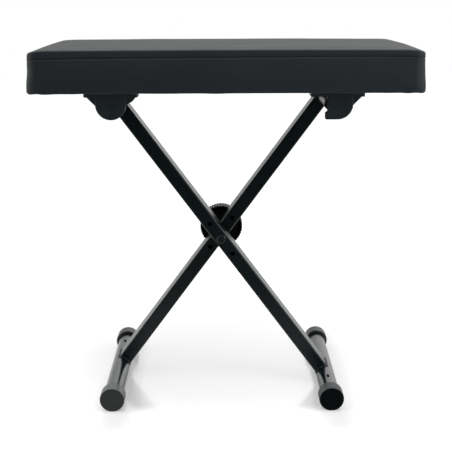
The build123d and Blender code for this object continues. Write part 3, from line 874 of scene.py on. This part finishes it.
# %% [markdown]
# Sewing the seat
#
# Now every point of the seat moves along its normal by what the thread, the pleats and the hem ask
# for, and then settles. The seam also writes its shade on the mesh, which the vinyl reads. One
# level of subdivision rounds the panels without blunting the seam.

# %% Sew the seam and let the cover settle
seat.data.update()
moves, shades = [], []
for vert in seat.data.vertices:
    out = Vector((vert.normal.x, vert.normal.y, 0))
    on_band = out.length > UPRIGHT and SEAT_UNDER + BAND_FOOT < vert.co.z
    move = sewn(vert.co) if on_band else 0.0
    if vert.co.z > SEAT_UNDER + HEM_HEIGHT:
        move += SWAY * noise.noise((vert.co.x * 16, vert.co.y * 16, vert.co.z * 22))
    moves.append(vert.normal * move - Vector((0, 0, pleat(vert.co) + hem_bulge(vert.co))))
    shades.append(math.exp(-((vert.co.z - SEAM_Z) / SHADE_WIDTH) ** 2) if on_band else 0.0)
seam_shade = seat.data.attributes.new("seam_shade", "FLOAT", "POINT")
for vert, move, shade in zip(seat.data.vertices, moves, shades):
    seam_shade.data[vert.index].value = shade
    vert.co = settled(vert.co + move)
for face in seat.data.polygons:
    face.use_smooth = True
smooth = seat.modifiers.new("soft_panels", "SUBSURF")
smooth.levels = 1
smooth.render_levels = 1
seat.data.materials.append(vinyl.material)
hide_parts("seat_cover", "seat_foam")
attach(seat, "seat")
print("sewn points", sum(shade > 0.5 for shade in shades))

# %% [markdown]
# The cloth under the seat
#
# A black nonwoven cloth closes the underside, tucked under the turned-in vinyl. A flat plate
# would look like sheet metal, so it is a thin sheet with slack between its edges, and its finish
# is a mat of fine fibres instead of a weave.

# %% Underside cloth
felt = Finish("black_nonwoven", (0.014, 0.014, 0.015), (0.028, 0.028, 0.030),
              (0.85, 0.95), 0.012)
felt.relief(felt.cloud(0.0007, 4.0, (1, 0.35, 1)), 0.00015, 0.7)
felt.relief(felt.cloud(0.0007, 4.0, (0.35, 1, 1)), 0.00015, 0.7)
felt.even("Sheen Weight", 0.25)
felt.even("Sheen Roughness", 0.5)

cloth_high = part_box("underside_cloth")[1]
CLOTH_T = 0.0008
CLOTH_GAP = 0.0001
SLACK_DEPTH, SLACK_REACH = 0.0003, 0.03
shape = bmesh.new()
bmesh.ops.create_grid(shape, x_segments=56, y_segments=26, size=1.0)
for vert in shape.verts:
    x = vert.co.x * cloth_high.x
    y = vert.co.y * cloth_high.y
    edge = min(cloth_high.x - abs(x), cloth_high.y - abs(y))
    slack = min(1.0, edge / SLACK_REACH)
    wave = noise.noise((x * 11, y * 17, 3.1)) * 0.5 + 0.5
    vert.co = Vector((x, y, SEAT_UNDER + CLOTH_T / 2 + CLOTH_GAP + SLACK_DEPTH * slack * wave))
mesh = bpy.data.meshes.new("underside_sheet")
shape.to_mesh(mesh)
shape.free()
for face in mesh.polygons:
    face.use_smooth = True
sheet = bpy.data.objects.new("underside_sheet", mesh)
scene.collection.objects.link(sheet)
thick = sheet.modifiers.new("thickness", "SOLIDIFY")
thick.thickness = CLOTH_T
thick.offset = 0.0
mesh.materials.append(felt.material)
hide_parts("underside_cloth")
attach(sheet, "seat")

# %% [markdown]
# Weld beads
#
# Each leg is welded all round to its foot tube and to the cross sleeve at its top. A weld is a row
# of small overlapping ripples, so the bead is a thin tube that follows the line where the two tubes
# meet, and its thickness rises and falls every few millimetres. The line is worked out from the
# tubes: a point on the leg's outline moves along the leg until it meets the round tube.

# %% Line of a bead
LEG_SPREAD = math.radians(36.4)
LEG_HALF_WIDTH = 0.01125
LEG_HALF_DEPTH = 0.020
LEG_CORNER = 0.003
LEG_MID_Y = 0.0228
FOOT_JOIN, FOOT_TUBE_R = -0.299, 0.015
SLEEVE_JOIN, SLEEVE_R, SLEEVE_COPE = 0.2866, 0.010, 0.0096
BEAD_R = 0.0017
BEAD_STEP = 0.0009
RIPPLE = 0.0031
RIPPLE_SHARE, LUMP_SHARE = 0.16, 0.25
BEAD_SIDES = 8
CORNER_STEPS = 5
places = {joint["name"]: joint.get("pos_m") for joint in frame["record"]["behaviour"]["joints"]}
pivot = Vector(places["leg_fold"])


def leg_outline():
    """Points round the leg tube's outline, with the direction that faces out of it."""
    points = []
    flat_u, flat_v = LEG_HALF_WIDTH - LEG_CORNER, LEG_HALF_DEPTH - LEG_CORNER
    corners = [(flat_u, flat_v, 0), (-flat_u, flat_v, 90)]
    corners += [(-flat_u, -flat_v, 180), (flat_u, -flat_v, 270)]
    for k, (u, v, turn) in enumerate(corners):
        for part in range(CORNER_STEPS + 1):
            angle = math.radians(turn + 90 * part / CORNER_STEPS)
            out = Vector((math.cos(angle), math.sin(angle)))
            points.append((Vector((u, v)) + LEG_CORNER * out, out))
        next_u, next_v, _ = corners[(k + 1) % 4]
        first = Vector((u, v)) + LEG_CORNER * out
        last = Vector((next_u, next_v)) + LEG_CORNER * out
        count = int((last - first).length / BEAD_STEP)
        points += [(first.lerp(last, j / count), out) for j in range(1, count)]
    return points


print("points round the leg", len(leg_outline()))

# %% [markdown]
# A bead as a thin tube
#
# A curve with a round bevel would give an even bead. The ripples need a thickness that changes from
# point to point, so the tube is made of rings of points that are joined by faces. The spring
# further on is made in the same way.

# %% Beads on the legs
def wire_ring(shape, spot, out, side_of, radius):
    """Points round a wire at a spot, in the plane of two directions."""
    ring = []
    for part in range(BEAD_SIDES):
        angle = 2 * math.pi * part / BEAD_SIDES
        around = math.cos(angle) * out + math.sin(angle) * side_of
        ring.append(shape.verts.new(spot + radius * around))
    return ring


def tube_mesh(name, shape, rings, closed):
    """Smooth mesh of a tube through rings of points, closed into a loop or capped at its ends."""
    for k, ring in enumerate(rings if closed else rings[:-1]):
        after = rings[(k + 1) % len(rings)]
        for part in range(len(ring)):
            other = (part + 1) % len(ring)
            shape.faces.new((ring[part], ring[other], after[other], after[part]))
    if not closed:
        shape.faces.new(rings[0])
        shape.faces.new(rings[-1])
    bmesh.ops.recalc_face_normals(shape, faces=shape.faces)
    mesh = bpy.data.meshes.new(name)
    shape.to_mesh(mesh)
    shape.free()
    for face in mesh.polygons:
        face.use_smooth = True
    return mesh


def weld_bead(name, lean, join, radius, cope):
    """Closed rippled bead where a leg meets a round tube."""
    along = Vector((lean * math.sin(LEG_SPREAD), 0, math.cos(LEG_SPREAD)))
    across = Vector((math.cos(LEG_SPREAD), 0, -lean * math.sin(LEG_SPREAD)))
    deep = Vector((0, 1, 0))
    toward = 1 if join < 0 else -1
    centre = pivot + along * join + deep * lean * LEG_MID_Y
    path, outs = [], []
    for point, out in leg_outline():
        reach = max(math.sqrt(max(0.0, radius ** 2 - point.x ** 2)), cope)
        path.append(centre + across * point.x + deep * point.y + along * toward * reach)
        outs.append((across * out.x + deep * out.y).normalized())
    shape = bmesh.new()
    rings = []
    walked = 0.0
    for k, (spot, out) in enumerate(zip(path, outs)):
        ahead_of = path[(k + 1) % len(path)] - path[k - 1]
        walked += (spot - path[k - 1]).length if k else 0.0
        side_of = ahead_of.normalized().cross(out).normalized()
        ripple = RIPPLE_SHARE * math.cos(2 * math.pi * walked / RIPPLE)
        ripple += LUMP_SHARE * noise.noise(spot * 150)
        rings.append(wire_ring(shape, spot, out, side_of, BEAD_R * (1 + ripple)))
    mesh = tube_mesh(name, shape, rings, True)
    mesh.materials.append(powder.material)
    bead = bpy.data.objects.new(name, mesh)
    scene.collection.objects.link(bead)
    return bead


joins = (("foot", FOOT_JOIN, FOOT_TUBE_R, 0.0), ("sleeve", SLEEVE_JOIN, SLEEVE_R, SLEEVE_COPE))
for leg, lean in (("front", -1), ("rear", 1)):
    for end, join, radius, cope in joins:
        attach(weld_bead(leg + "_leg_" + end + "_weld", lean, join, radius, cope), leg + "_frame")
print("weld beads laid")

# %% [markdown]
# The clutch spring
#
# A spring inside the knob presses the clutch's teeth together. Pulling the knob squeezes it against
# the washer on the bolt, and a rigid spring would cut into the knob then. Here a coil of the same
# size stands for the imported one, a round wire swept along a helix, and it gets a mesh of its own.

# %% Wind the spring
SPRING_TURNS = 3
TURN_STEPS = 28
SPRING_WIRE_R = 0.0006
SPRING_COIL_R = 0.0084
spring_low, spring_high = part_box("clutch_spring")
spring_length = spring_high.y - spring_low.y
rise = spring_length - 2 * SPRING_WIRE_R
steepness = rise / (2 * math.pi * SPRING_TURNS * SPRING_COIL_R)

shape = bmesh.new()
rings = []
for k in range(SPRING_TURNS * TURN_STEPS + 1):
    turn = 2 * math.pi * k / TURN_STEPS
    out = Vector((math.cos(turn), 0, -math.sin(turn)))
    side_of = Vector((-math.sin(turn), steepness, -math.cos(turn))).normalized().cross(out)
    from_front = SPRING_WIRE_R + rise * k / (SPRING_TURNS * TURN_STEPS)
    spot = Vector((pivot.x, spring_low.y + from_front, pivot.z)) + SPRING_COIL_R * out
    rings.append(wire_ring(shape, spot, out, side_of, SPRING_WIRE_R))
spring = bpy.data.objects.new("wound_spring", tube_mesh("wound_spring", shape, rings, False))
scene.collection.objects.link(spring)
spring.data.materials.append(spring_steel.material)
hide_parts("clutch_spring")
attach(spring, "front_frame")
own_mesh(spring)
